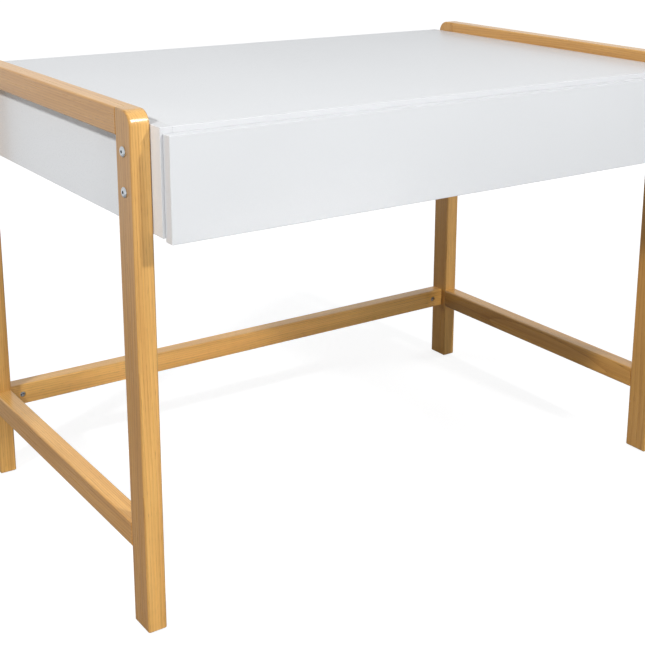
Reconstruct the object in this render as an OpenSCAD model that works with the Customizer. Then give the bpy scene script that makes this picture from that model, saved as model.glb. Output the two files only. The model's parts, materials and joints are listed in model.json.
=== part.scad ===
// Writing desk: a white panelled carcass with one wide drawer, carried between two oak end frames.
// Millimetres. X runs across the desk, Y from the sitter's side (negative) to the back, Z up.
// The origin is on the floor, under the middle of the whole desk.

/* [Overall size] */
// Width over the outer faces of the legs
desk_w = 1050; // [900:10:1400]
// Depth from the drawer front to the back of the carcass
desk_d = 700; // [640:10:800]
// Height from the floor to the top of the side rails
desk_h = 750; // [700:5:800]

/* [Oak frames] */
// Leg and rail thickness across the desk
leg_t = 29; // [27:0.5:36]
// Leg depth from front to back
leg_d = 45; // [42:0.5:60]
// Height of the rails and stretchers
rail_h = 37.5; // [36:0.5:45]
// Height of the top faces of the low stretchers above the floor
stretcher_top = 156; // [120:1:250]
// Radius of the eased long edges
edge_r = 3; // [1:0.5:5]
// Radius of the outer top corner of each leg
corner_r = 21; // [10:1:26]
// How far the rear stretcher stands in front of the back faces of the legs
stretcher_inset = 3; // [2:0.5:6]
// How far the carcass stands ahead of the front legs
front_overhang = 26; // [15:1:40]
// How far the carcass stands behind the rear legs
rear_overhang = 15; // [5:1:30]

/* [Carcass] */
// Board thickness of the desk top, side panels and back panel
board_t = 18; // [17:1:22]
// Height of the carcass
carcass_h = 146; // [140:1:180]
// Height of the side rails above the desk top
lip_h = 19; // [10:1:19]

/* [Drawer] */
// Thickness of the drawer front
front_t = 18; // [17:1:22]
// Gap between the closed drawer front and the carcass
front_gap = 1; // [1:0.5:2]
// Margin of bare side panel beside the drawer front
front_reveal = 3.5; // [2:0.5:6]
// How far the drawer front hangs below the carcass
front_drop = 5; // [2:1:12]
// Distance of the drawer front's top edge below the desk top
front_step = 8; // [5:1:10]
// Board thickness of the drawer box
box_t = 16; // [15:1:18]
// Height of the drawer box
box_h = 102; // [98:1:110]
// Length of the drawer box behind the drawer front
box_len = 505; // [505:5:560]
// Thickness of the drawer bottom
bottom_t = 5; // [3:1:6]
// Length of the drawer slides
slide_len = 500; // [400:10:500]

/* [Fittings] */
// Distance of the upper leg bolts below the desk top's surface
upper_bolt_drop = 36; // [34:1:41]
// Height between the upper and the lower leg bolts
bolt_pitch = 54; // [45:1:60]
// Diameter of the connector bolt heads
bolt_head_d = 14.5; // [12:0.5:17]
// How far the connector bolt heads stand proud
bolt_head_h = 2.6; // [2:0.2:4]
// Diameter of the cam locks
cam_d = 15; // [14:1:15]
// Thickness of the foot glides
glide_t = 1.5; // [1:0.5:4]
// Diameter of the foot glides
glide_d = 20; // [16:1:24]

/* [Hidden] */
$fn = 48;

oak = [0.86, 0.67, 0.41];
beech = [0.80, 0.66, 0.47];
white = [0.95, 0.96, 0.97];
box_white = [0.91, 0.92, 0.92];
steel = [0.74, 0.75, 0.77];
zinc = [0.62, 0.63, 0.65];
plastic = [0.30, 0.30, 0.31];

// Clearances: round a dowel or shank in its hole, and past the end of a blind hole
fit = 0.05;
bottoming = 0.5;

// Front-to-back stations
drawer_face_y = -desk_d / 2;
box_front_y = drawer_face_y + front_t;
carcass_front_y = box_front_y + front_gap;
carcass_rear_y = desk_d / 2;
back_front_y = carcass_rear_y - board_t;
legs_front_y = carcass_front_y + front_overhang;
legs_rear_y = carcass_rear_y - rear_overhang;
front_leg_y = legs_front_y + leg_d / 2;
rear_leg_y = legs_rear_y - leg_d / 2;
rail_front_y = legs_front_y + leg_d;
rail_rear_y = legs_rear_y - leg_d;
stretcher_rear_y = legs_rear_y - stretcher_inset;
stretcher_mid_y = stretcher_rear_y - leg_t / 2;
stretcher_front_y = stretcher_rear_y - leg_t;

// Stations across the desk, right-hand side
leg_out_x = desk_w / 2;
leg_in_x = leg_out_x - leg_t;
leg_mid_x = leg_out_x - leg_t / 2;
panel_in_x = leg_in_x - board_t;
slide_w = 12.7;
box_out_x = panel_in_x - slide_w;
box_in_x = box_out_x - box_t;
box_mid_x = box_out_x - box_t / 2;
front_half_w = leg_in_x - front_reveal;

// Heights
top_z = desk_h - lip_h;
under_top_z = top_z - board_t;
top_mid_z = top_z - board_t / 2;
carcass_z = top_z - carcass_h;
front_z = carcass_z - front_drop;
front_top_z = top_z - front_step;
rail_z = desk_h - rail_h / 2;
stretcher_z = stretcher_top - rail_h / 2;
box_z = under_top_z - 13 - box_h;
box_top_z = box_z + box_h;
bottom_z = box_z + 12;
slide_z = box_z + box_h / 2;

// Dowels
dowel_r = 4;
dowel_len = 36;
small_dowel_r = 3;
small_dowel_len = 30;
dowel_pitch = 18;
small_dowel_pitch = 23;
panel_dowel_in = 11;

// Connector bolts, insert nuts and barrel nuts
leg_bolt_z = [top_z - upper_bolt_drop - bolt_pitch, top_z - upper_bolt_drop];
bolt_r = 3;
bolt_hole_r = 3.25;
bolt_len = 40;
insert_r = 5;
insert_len = 13;
barrel_r = 5;
barrel_len = 22;
barrel_sink = 2;
barrel_from_end = 25;
nail_r = 1;
nail_len = 11;
stretcher_bolt_len = leg_t + barrel_from_end + 8;
hex_r = 2.3;
hex_depth = 1.8;

// Cam locks and their pins
cam_r = cam_d / 2;
cam_h = 12.5;
cam_from_end = 24;
pin_r = 3.2;
pin_screw_r = 2.5;
pin_screw_len = 11;
pin_hole_r = 3.5;
top_cam_y = [carcass_front_y + 41, 10, carcass_rear_y - 40];
top_dowel_y = [-140, 160];
back_cam_z = [carcass_z + 27, under_top_z - 27];
back_mid_y = carcass_rear_y - board_t / 2;
back_dowel_x = [for (share = [-0.8, -0.27, 0.27, 0.8]) share * panel_in_x];
drawer_cam_z = [slide_z - 17, slide_z + 29];
drawer_dowel_z = [slide_z + 6, slide_z + 43];

// Slides: heights are half heights of each folded steel rail, depths run from the side panel inwards
slide_front_y = carcass_front_y + 2;
slide_rear_y = slide_front_y + slide_len;
sheet_t = 1.2;
cabinet_half_h = 22.5;
cabinet_depth = 9.6;
middle_half_h = 18.6;
middle_in = 3.4;
middle_depth = 10.6;
drawer_half_h = 15;
drawer_in = 5.6;
slide_screw_y = [slide_front_y + 35, slide_front_y + 227, slide_front_y + 419];
screw_r = 1.75;
screw_len = 13;
screw_head_r = 3.6;
screw_head_h = 1.3;

// Drawer box details
groove_in = 6;
back_y = box_front_y + box_len - box_t;
back_screw_z = [bottom_z + bottom_t + 5, slide_z + 37];
back_screw_r = 2.5;
back_screw_len = 45;
back_head_r = 4.5;
back_head_h = 2.5;
bottom_screw_x = [for (share = [-0.84, -0.33, 0.33, 0.84]) share * box_in_x];
bottom_screw_len = 20;
brace_half_w = 20;
brace_screw_len = 32;
bumper_r = 4;
bumper_t = 0.8;
bumper_z = [carcass_z + 15, front_top_z - 15];
bumper_x = leg_in_x - board_t / 2;

// ---- Shared shapes ----

// Block between two opposite corners
module block(low, high) {
    translate(low) cube(high - low);
}

// Round rods along each axis, from one end to the other
module x_rod(x0, x1, y, z, r) {
    translate([x0, y, z]) rotate([0, 90, 0]) cylinder(h = x1 - x0, r = r);
}

module y_rod(y0, y1, x, z, r) {
    translate([x, y1, z]) rotate([90, 0, 0]) cylinder(h = y1 - y0, r = r);
}

module z_rod(z0, z1, x, y, r) {
    translate([x, y, z0]) cylinder(h = z1 - z0, r = r);
}

// Keeps a right-hand piece, or mirrors it to the left
module on_side(side) {
    mirror([side < 0 ? 1 : 0, 0, 0]) children();
}

module both_sides() {
    for (side = [-1, 1]) on_side(side) children();
}

// Section of a board or leg whose corners are rounded, centred on the origin
module eased_rect(w, h, r) {
    square([w - 2 * r, h], center = true);
    square([w, h - 2 * r], center = true);
    for (sx = [-1, 1], sy = [-1, 1])
        translate([sx * (w / 2 - r), sy * (h / 2 - r)]) circle(r);
}

// Bar along Y with eased long edges
module eased_bar_y(y0, y1, x, z, w, h) {
    translate([x, y1, z]) rotate([90, 0, 0]) linear_extrude(y1 - y0) eased_rect(w, h, edge_r);
}

// ---- Oak end frames, drawn for the right-hand side ----

// Side view of a leg, standing on its glide, with the outer top corner rounded; front is +1 or -1
module leg_outline(front) {
    mirror([front > 0 ? 0 : 1, 0]) {
        translate([-leg_d / 2, glide_t]) square([leg_d, desk_h - glide_t - corner_r]);
        translate([-leg_d / 2 + corner_r, glide_t]) square([leg_d - corner_r, desk_h - glide_t]);
        translate([-leg_d / 2 + corner_r, desk_h - corner_r]) circle(corner_r);
    }
}

// Heights of the dowels at the ends of a rail or stretcher
function dowel_heights(z, pitch) = [z - pitch / 2, z + pitch / 2];

// Dowels between the legs and the rails of one frame; grow enlarges them into their holes
module frame_dowel_set(grow, extra) {
    for (z = concat(dowel_heights(rail_z, dowel_pitch), dowel_heights(stretcher_z, dowel_pitch)),
         y = [rail_front_y, rail_rear_y])
        y_rod(y - dowel_len / 2 - extra, y + dowel_len / 2 + extra, leg_mid_x, z, dowel_r + grow);
}

// Dowels between a rear leg and the end of the rear stretcher
module stretcher_dowel_set(grow, extra) {
    for (z = dowel_heights(stretcher_z, small_dowel_pitch))
        x_rod(leg_in_x - small_dowel_len / 2 - extra, leg_in_x + small_dowel_len / 2 + extra,
              stretcher_mid_y, z, small_dowel_r + grow);
}

// Leg with its dowel, bolt and nail holes; side is -1 or +1, front is +1 for a front leg
module leg(side, y, front) {
    color(oak) on_side(side) difference() {
        intersection() {
            translate([leg_mid_x, y, 0]) linear_extrude(desk_h) eased_rect(leg_t, leg_d, edge_r);
            translate([leg_in_x, y, 0]) rotate([90, 0, 90]) linear_extrude(leg_t) leg_outline(front);
        }
        frame_dowel_set(fit, bottoming);
        for (z = leg_bolt_z)
            x_rod(leg_in_x - 1, leg_out_x + 1, y, z, bolt_hole_r);
        z_rod(0, glide_t + nail_len + 1, leg_mid_x, y, nail_r + fit);
        if (front < 0) {
            stretcher_dowel_set(fit, bottoming);
            x_rod(leg_in_x - 1, leg_out_x + 1, stretcher_mid_y, stretcher_z, bolt_hole_r);
        }
    }
}

module left_front_leg() leg(-1, front_leg_y, 1);
module left_rear_leg() leg(-1, rear_leg_y, -1);
module right_front_leg() leg(1, front_leg_y, 1);
module right_rear_leg() leg(1, rear_leg_y, -1);

// Rail or stretcher between the legs of one frame
module frame_rail(side, z) {
    color(oak) on_side(side) difference() {
        eased_bar_y(rail_front_y, rail_rear_y, leg_mid_x, z, leg_t, rail_h);
        frame_dowel_set(fit, bottoming);
    }
}

module left_top_rail() frame_rail(-1, rail_z);
module right_top_rail() frame_rail(1, rail_z);
module left_side_stretcher() frame_rail(-1, stretcher_z);
module right_side_stretcher() frame_rail(1, stretcher_z);

// Nail-on glide: a plastic disc with a thin nail
module glide(side, y) {
    color(plastic) on_side(side) {
        z_rod(0, glide_t, leg_mid_x, y, glide_d / 2);
        z_rod(0, glide_t + nail_len, leg_mid_x, y, nail_r);
    }
}

module left_front_glide() glide(-1, front_leg_y);
module left_rear_glide() glide(-1, rear_leg_y);
module right_front_glide() glide(1, front_leg_y);
module right_rear_glide() glide(1, rear_leg_y);

module rear_stretcher() {
    color(oak) difference() {
        translate([-leg_in_x, stretcher_mid_y, stretcher_z]) rotate([90, 0, 90])
            linear_extrude(2 * leg_in_x) eased_rect(leg_t, rail_h, edge_r);
        both_sides() {
            stretcher_dowel_set(fit, bottoming);
            x_rod(leg_out_x - stretcher_bolt_len - 1, leg_in_x + 1,
                  stretcher_mid_y, stretcher_z, bolt_hole_r);
            y_rod(stretcher_front_y - 1, stretcher_front_y + barrel_sink + barrel_len + bottoming,
                  leg_in_x - barrel_from_end, stretcher_z, barrel_r + fit);
        }
    }
}

// ---- Frame fastenings ----

module left_frame_dowels() color(beech) on_side(-1) frame_dowel_set(0, 0);
module right_frame_dowels() color(beech) on_side(1) frame_dowel_set(0, 0);
module stretcher_dowels() color(beech) both_sides() stretcher_dowel_set(0, 0);

// Connector bolt along X with a low button head and a hexagon socket; the head bears on the leg
module connector_bolt(y, z, length) {
    difference() {
        union() {
            x_rod(leg_out_x - length, leg_out_x, y, z, bolt_r);
            x_rod(leg_out_x, leg_out_x + bolt_head_h * 0.4, y, z, bolt_head_d / 2);
            translate([leg_out_x + bolt_head_h * 0.4, y, z]) rotate([0, 90, 0])
                cylinder(h = bolt_head_h * 0.6, r1 = bolt_head_d / 2, r2 = bolt_head_d * 0.36);
        }
        translate([leg_out_x + bolt_head_h - hex_depth, y, z]) rotate([0, 90, 0])
            cylinder(h = hex_depth + 1, r = hex_r, $fn = 6);
    }
}

module leg_bolts(side) {
    color(steel) on_side(side)
        for (y = [front_leg_y, rear_leg_y], z = leg_bolt_z)
            connector_bolt(y, z, bolt_len);
}

module left_leg_bolts() leg_bolts(-1);
module right_leg_bolts() leg_bolts(1);

// Threaded inserts let into the outer faces of a side panel
module insert_nuts(side) {
    color(zinc) on_side(side)
        for (y = [front_leg_y, rear_leg_y], z = leg_bolt_z) difference() {
            x_rod(leg_in_x - insert_len, leg_in_x - bottoming, y, z, insert_r - fit);
            x_rod(leg_in_x - insert_len - 1, leg_in_x + 1, y, z, bolt_r + fit);
        }
}

module left_insert_nuts() insert_nuts(-1);
module right_insert_nuts() insert_nuts(1);

module stretcher_bolts() {
    color(steel) both_sides() connector_bolt(stretcher_mid_y, stretcher_z, stretcher_bolt_len);
}

// Cross-drilled nuts sunk below the front face of the rear stretcher
module barrel_nuts() {
    color(zinc) both_sides() difference() {
        y_rod(stretcher_front_y + barrel_sink, stretcher_front_y + barrel_sink + barrel_len,
              leg_in_x - barrel_from_end, stretcher_z, barrel_r);
        x_rod(leg_out_x - stretcher_bolt_len - 1, leg_in_x, stretcher_mid_y, stretcher_z, bolt_r + fit);
        block([leg_in_x - barrel_from_end - 4, stretcher_front_y, stretcher_z - 0.6],
              [leg_in_x - barrel_from_end + 4, stretcher_front_y + barrel_sink + 1.5, stretcher_z + 0.6]);
    }
}

// ---- Carcass ----

// Pins of the cam joints between the desk top and a side panel
module top_pin_set(pin, screw, extra) {
    for (y = top_cam_y)
        cam_pin_x(y, top_mid_z, pin, screw, extra);
}

// Pins of the cam joints between the back panel and a side panel
module back_pin_set(pin, screw, extra) {
    for (z = back_cam_z)
        cam_pin_x(back_mid_y, z, pin, screw, extra);
}

// One cam pin along X: a screw in the side panel and a shank that ends inside the cam
module cam_pin_x(y, z, pin, screw, extra) {
    x_rod(panel_in_x - cam_from_end - 3, panel_in_x, y, z, pin);
    x_rod(panel_in_x, panel_in_x + pin_screw_len + extra, y, z, screw);
}

module top_dowel_set(grow, extra) {
    for (y = top_dowel_y)
        x_rod(panel_in_x - 19 - extra, panel_in_x + panel_dowel_in + extra, y, top_mid_z, dowel_r + grow);
}

module back_dowel_set(grow, extra) {
    for (x = back_dowel_x)
        z_rod(under_top_z - 19 - extra, under_top_z + panel_dowel_in + extra, x, back_mid_y, dowel_r + grow);
}

module desk_top() {
    color(white) difference() {
        block([-panel_in_x, carcass_front_y, under_top_z], [panel_in_x, carcass_rear_y, top_z]);
        both_sides() {
            top_pin_set(pin_hole_r, pin_screw_r, 0);
            top_dowel_set(fit, bottoming);
            for (y = top_cam_y)
                z_rod(under_top_z - 1, under_top_z + cam_h + bottoming,
                      panel_in_x - cam_from_end, y, cam_r + fit);
        }
        back_dowel_set(fit, bottoming);
    }
}

// Side panel between the oak frame and the drawer
module side_panel(side) {
    color(white) on_side(side) difference() {
        block([panel_in_x, carcass_front_y, carcass_z], [leg_in_x, carcass_rear_y, top_z]);
        top_pin_set(pin_r, pin_screw_r + fit, bottoming);
        back_pin_set(pin_r, pin_screw_r + fit, bottoming);
        top_dowel_set(fit, bottoming);
        for (y = [front_leg_y, rear_leg_y], z = leg_bolt_z)
            x_rod(leg_in_x - insert_len - 1, leg_in_x + 1, y, z, insert_r);
        for (y = slide_screw_y)
            x_rod(panel_in_x - 1, panel_in_x + screw_len, y, slide_z, screw_r + fit);
    }
}

module left_side_panel() side_panel(-1);
module right_side_panel() side_panel(1);

module back_panel() {
    color(white) difference() {
        block([-panel_in_x, back_front_y, carcass_z], [panel_in_x, carcass_rear_y, under_top_z]);
        both_sides() {
            back_pin_set(pin_hole_r, pin_screw_r, 0);
            for (z = back_cam_z)
                y_rod(back_front_y - 1, back_front_y + cam_h + bottoming, panel_in_x - cam_from_end, z,
                      cam_r + fit);
        }
        back_dowel_set(fit, bottoming);
    }
}

// Cross recess in the face of a cam, centred on the origin and cut upwards from z = 0
module cam_cross() {
    for (a = [0, 90]) rotate([0, 0, a]) translate([-4, -0.8, -1]) cube([8, 1.6, 3]);
}

module top_cam_locks() {
    color(zinc) both_sides() difference() {
        for (y = top_cam_y)
            z_rod(under_top_z, under_top_z + cam_h, panel_in_x - cam_from_end, y, cam_r);
        top_pin_set(pin_hole_r, pin_screw_r, 0);
        for (y = top_cam_y)
            translate([panel_in_x - cam_from_end, y, under_top_z]) cam_cross();
    }
}

module top_cam_pins() color(steel) both_sides() top_pin_set(pin_r, pin_screw_r, 0);
module back_cam_pins() color(steel) both_sides() back_pin_set(pin_r, pin_screw_r, 0);
module top_dowels() color(beech) both_sides() top_dowel_set(0, 0);
module back_dowels() color(beech) back_dowel_set(0, 0);

module back_cam_locks() {
    color(zinc) both_sides() difference() {
        for (z = back_cam_z)
            y_rod(back_front_y, back_front_y + cam_h, panel_in_x - cam_from_end, z, cam_r);
        back_pin_set(pin_hole_r, pin_screw_r, 0);
        for (z = back_cam_z)
            translate([panel_in_x - cam_from_end, back_front_y, z]) rotate([-90, 0, 0]) cam_cross();
    }
}

// ---- Drawer slides, drawn for the right-hand side ----

// Folded steel rail: a web and two flanges that point away from it
module slide_rail(web_x, tip_x, half_h) {
    web_dir = tip_x < web_x ? -1 : 1;
    web_end = web_x + web_dir * sheet_t;
    block([min(web_x, web_end), slide_front_y, slide_z - half_h],
          [max(web_x, web_end), slide_rear_y, slide_z + half_h]);
    for (z = [slide_z - half_h, slide_z + half_h - sheet_t])
        block([min(web_x, tip_x), slide_front_y, z], [max(web_x, tip_x), slide_rear_y, z + sheet_t]);
}

module slide_cabinet_rail(side) {
    color(steel) on_side(side) difference() {
        slide_rail(panel_in_x, panel_in_x - cabinet_depth, cabinet_half_h);
        for (y = slide_screw_y)
            x_rod(panel_in_x - 2, panel_in_x + 1, y, slide_z, screw_r + 0.4);
    }
}

module slide_middle_rail(side) {
    color(steel) on_side(side)
        slide_rail(panel_in_x - middle_in, panel_in_x - middle_depth, middle_half_h);
}

module slide_drawer_rail(side) {
    color(steel) on_side(side) difference() {
        slide_rail(box_out_x, panel_in_x - drawer_in, drawer_half_h);
        for (y = slide_screw_y)
            x_rod(box_out_x - 1, box_out_x + 2, y, slide_z, screw_r + 0.4);
    }
}

module left_slide_cabinet_rail() slide_cabinet_rail(-1);
module right_slide_cabinet_rail() slide_cabinet_rail(1);
module left_slide_middle_rail() slide_middle_rail(-1);
module right_slide_middle_rail() slide_middle_rail(1);
module left_slide_drawer_rail() slide_drawer_rail(-1);
module right_slide_drawer_rail() slide_drawer_rail(1);

// Screws through the cabinet rails into the side panels
module cabinet_slide_screws() {
    color(zinc) both_sides() for (y = slide_screw_y) {
        x_rod(panel_in_x - sheet_t - screw_head_h, panel_in_x - sheet_t, y, slide_z, screw_head_r);
        x_rod(panel_in_x - sheet_t, panel_in_x + screw_len - 1, y, slide_z, screw_r);
    }
}

// Screws through the drawer rails into the drawer sides
module drawer_slide_screws() {
    color(zinc) both_sides() for (y = slide_screw_y) {
        x_rod(box_out_x + sheet_t, box_out_x + sheet_t + screw_head_h, y, slide_z, screw_head_r);
        x_rod(box_out_x - screw_len + 2, box_out_x + sheet_t, y, slide_z, screw_r);
    }
}

// ---- Drawer ----

// One cam pin along Y: a screw in the drawer front and a shank that ends inside the cam
module drawer_pin_set(pin, screw, extra) {
    for (z = drawer_cam_z) {
        y_rod(box_front_y, box_front_y + cam_from_end + 3, box_mid_x, z, pin);
        y_rod(box_front_y - pin_screw_len - extra, box_front_y, box_mid_x, z, screw);
    }
}

module drawer_dowel_set(grow, extra) {
    for (z = drawer_dowel_z)
        y_rod(box_front_y - panel_dowel_in - extra, box_front_y + 15 + extra, box_mid_x, z,
              small_dowel_r + grow);
}

// Dowel between the middle brace and the drawer front
module brace_dowel(grow, extra) {
    y_rod(box_front_y - panel_dowel_in - extra, box_front_y + 15 + extra, 0, box_z + 6, small_dowel_r + grow);
}

// Countersunk screws through a drawer side into the drawer back; over runs the holes past the surface
module back_screw_set(grow, over) {
    for (z = back_screw_z) {
        x_rod(box_out_x - back_screw_len - over, box_out_x, back_y + box_t / 2, z, back_screw_r + grow);
        x_rod(box_out_x - back_head_h, box_out_x + over, back_y + box_t / 2, z, back_head_r + grow);
    }
}

// Grooved seat of the drawer bottom in the drawer front and sides
module bottom_slot() {
    reach = groove_in + bottoming / 2;
    block([-box_in_x - reach, box_front_y - reach, bottom_z - fit],
          [box_in_x + reach, back_y + box_t + 1, bottom_z + bottom_t + fit]);
}

module drawer_front() {
    color(white) difference() {
        block([-front_half_w, drawer_face_y, front_z], [front_half_w, box_front_y, front_top_z]);
        bottom_slot();
        both_sides() {
            drawer_pin_set(pin_r, pin_screw_r + fit, bottoming);
            drawer_dowel_set(fit, bottoming);
        }
        brace_dowel(fit, bottoming);
    }
}

module drawer_side(side) {
    color(box_white) on_side(side) difference() {
        block([box_in_x, box_front_y, box_z], [box_out_x, box_front_y + box_len, box_top_z]);
        bottom_slot();
        drawer_pin_set(pin_hole_r, pin_screw_r, 0);
        drawer_dowel_set(fit, bottoming);
        for (z = drawer_cam_z)
            x_rod(box_in_x - 1, box_in_x + cam_h + bottoming, box_front_y + cam_from_end, z, cam_r + fit);
        for (y = slide_screw_y)
            x_rod(box_out_x - screw_len + 1, box_out_x + 1, y, slide_z, screw_r + fit);
        back_screw_set(fit, bottoming);
    }
}

module drawer_left_side() drawer_side(-1);
module drawer_right_side() drawer_side(1);

module drawer_back() {
    color(box_white) difference() {
        block([-box_in_x, back_y, bottom_z + bottom_t], [box_in_x, back_y + box_t, box_top_z]);
        both_sides() back_screw_set(fit, bottoming);
        for (x = concat(bottom_screw_x, [0]))
            z_rod(bottom_z, bottom_z + bottom_screw_len + bottoming, x, back_y + box_t / 2, screw_r + fit);
    }
}

module drawer_bottom() {
    color(white) difference() {
        block([-box_in_x - groove_in, box_front_y - groove_in, bottom_z],
              [box_in_x + groove_in, back_y + box_t, bottom_z + bottom_t]);
        for (x = concat(bottom_screw_x, [0]))
            z_rod(bottom_z - 1, bottom_z + bottom_t + 1, x, back_y + box_t / 2, screw_r + fit);
    }
}

// Batten under the middle of the drawer bottom, doweled to the front and screwed to the back
module drawer_brace() {
    color(beech) difference() {
        block([-brace_half_w, box_front_y, box_z], [brace_half_w, back_y + box_t, bottom_z]);
        brace_dowel(fit, bottoming);
        z_rod(box_z - 1, bottom_z + 1, 0, back_y + box_t / 2, screw_r + fit);
        z_rod(box_z - 1, box_z + screw_head_h + fit, 0, back_y + box_t / 2, screw_head_r + fit);
    }
}

module drawer_cam_locks() {
    color(zinc) both_sides() difference() {
        for (z = drawer_cam_z)
            x_rod(box_in_x, box_in_x + cam_h, box_front_y + cam_from_end, z, cam_r);
        drawer_pin_set(pin_hole_r, pin_screw_r, 0);
        for (z = drawer_cam_z)
            translate([box_in_x, box_front_y + cam_from_end, z]) rotate([0, 90, 0]) cam_cross();
    }
}

module drawer_cam_pins() color(steel) both_sides() drawer_pin_set(pin_r, pin_screw_r, 0);
module drawer_back_screws() color(zinc) both_sides() back_screw_set(0, 0);

module drawer_dowels() {
    color(beech) {
        both_sides() drawer_dowel_set(0, 0);
        brace_dowel(0, 0);
    }
}

// Screws up through the drawer bottom into the back; the middle one also holds the brace
module bottom_screws() {
    color(zinc) {
        for (x = bottom_screw_x) {
            z_rod(bottom_z - screw_head_h, bottom_z, x, back_y + box_t / 2, screw_head_r);
            z_rod(bottom_z, bottom_z + bottom_screw_len, x, back_y + box_t / 2, screw_r);
        }
        z_rod(box_z, box_z + screw_head_h, 0, back_y + box_t / 2, screw_head_r);
        z_rod(box_z, box_z + brace_screw_len, 0, back_y + box_t / 2, screw_r);
    }
}

// Clear pads on the back of the drawer front, which meet the edges of the side panels
module drawer_bumpers() {
    color(box_white) both_sides() for (z = bumper_z)
        y_rod(box_front_y, box_front_y + bumper_t, bumper_x, z, bumper_r);
}

left_front_leg();
left_rear_leg();
right_front_leg();
right_rear_leg();
left_top_rail();
right_top_rail();
left_side_stretcher();
right_side_stretcher();
rear_stretcher();
left_frame_dowels();
right_frame_dowels();
stretcher_dowels();
stretcher_bolts();
barrel_nuts();
left_leg_bolts();
right_leg_bolts();
left_insert_nuts();
right_insert_nuts();
left_front_glide();
left_rear_glide();
right_front_glide();
right_rear_glide();
desk_top();
left_side_panel();
right_side_panel();
back_panel();
top_cam_locks();
top_cam_pins();
back_cam_locks();
back_cam_pins();
top_dowels();
back_dowels();
left_slide_cabinet_rail();
right_slide_cabinet_rail();
cabinet_slide_screws();
left_slide_middle_rail();
right_slide_middle_rail();
drawer_front();
drawer_left_side();
drawer_right_side();
drawer_back();
drawer_bottom();
drawer_brace();
drawer_cam_locks();
drawer_cam_pins();
drawer_dowels();
drawer_back_screws();
bottom_screws();
left_slide_drawer_rail();
right_slide_drawer_rail();
drawer_slide_screws();
drawer_bumpers();
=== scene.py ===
import functools
import json
import math

import bmesh
import bpy
from mathutils import Matrix, Vector

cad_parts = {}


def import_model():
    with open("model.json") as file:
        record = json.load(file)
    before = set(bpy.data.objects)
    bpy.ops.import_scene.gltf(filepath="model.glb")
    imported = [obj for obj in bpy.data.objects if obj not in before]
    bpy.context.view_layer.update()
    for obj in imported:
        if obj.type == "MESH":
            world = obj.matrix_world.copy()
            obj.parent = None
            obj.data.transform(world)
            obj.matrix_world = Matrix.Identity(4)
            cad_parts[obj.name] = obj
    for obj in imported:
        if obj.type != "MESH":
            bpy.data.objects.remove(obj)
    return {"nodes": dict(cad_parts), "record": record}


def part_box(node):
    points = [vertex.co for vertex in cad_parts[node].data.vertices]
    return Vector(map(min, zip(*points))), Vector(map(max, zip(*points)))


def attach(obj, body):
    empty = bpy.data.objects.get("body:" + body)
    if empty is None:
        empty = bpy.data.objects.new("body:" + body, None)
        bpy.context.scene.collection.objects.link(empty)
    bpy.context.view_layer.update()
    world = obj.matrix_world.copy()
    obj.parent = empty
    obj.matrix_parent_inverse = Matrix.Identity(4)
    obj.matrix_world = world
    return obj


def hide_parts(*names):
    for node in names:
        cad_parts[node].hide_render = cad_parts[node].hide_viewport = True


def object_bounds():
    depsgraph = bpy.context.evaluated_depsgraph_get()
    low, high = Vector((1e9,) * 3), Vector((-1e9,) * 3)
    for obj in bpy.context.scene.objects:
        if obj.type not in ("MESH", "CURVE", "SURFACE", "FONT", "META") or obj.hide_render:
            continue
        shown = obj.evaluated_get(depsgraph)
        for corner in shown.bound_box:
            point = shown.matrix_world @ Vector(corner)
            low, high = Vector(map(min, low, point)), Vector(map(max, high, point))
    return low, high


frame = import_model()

# Writing desk: white panelled carcass with one wide drawer, between two lacquered oak end frames.
# Metres, in the frame of the CAD model: X across the desk, Y towards the back, Z up.

cad_low, cad_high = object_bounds()
MM = 0.001
AXES = "XYZ"
BODY_OF = {n: b for b, nodes in frame["record"]["behaviour"]["bodies"].items() for n in nodes}

# ---------------------------------------------------------------- materials


def grey(level):
    """The colour grey at a level from 0 to 1."""
    return (level, level, level)


def feed(tree, value, socket):
    """Links a node's output to a socket, or sets the socket to a number or a colour."""
    if isinstance(value, bpy.types.NodeSocket):
        tree.links.new(value, socket)
    elif isinstance(value, tuple):
        socket.default_value = (*value, 1.0)
    else:
        socket.default_value = value


def mix_colours(tree, node, factor, a, b):
    """Feeds the factor and the colour inputs of a Mix node, which share names, by their places."""
    for place, value in ((0, factor), (6, a), (7, b)):
        feed(tree, value, node.inputs[place])
    return node.outputs[2]


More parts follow.
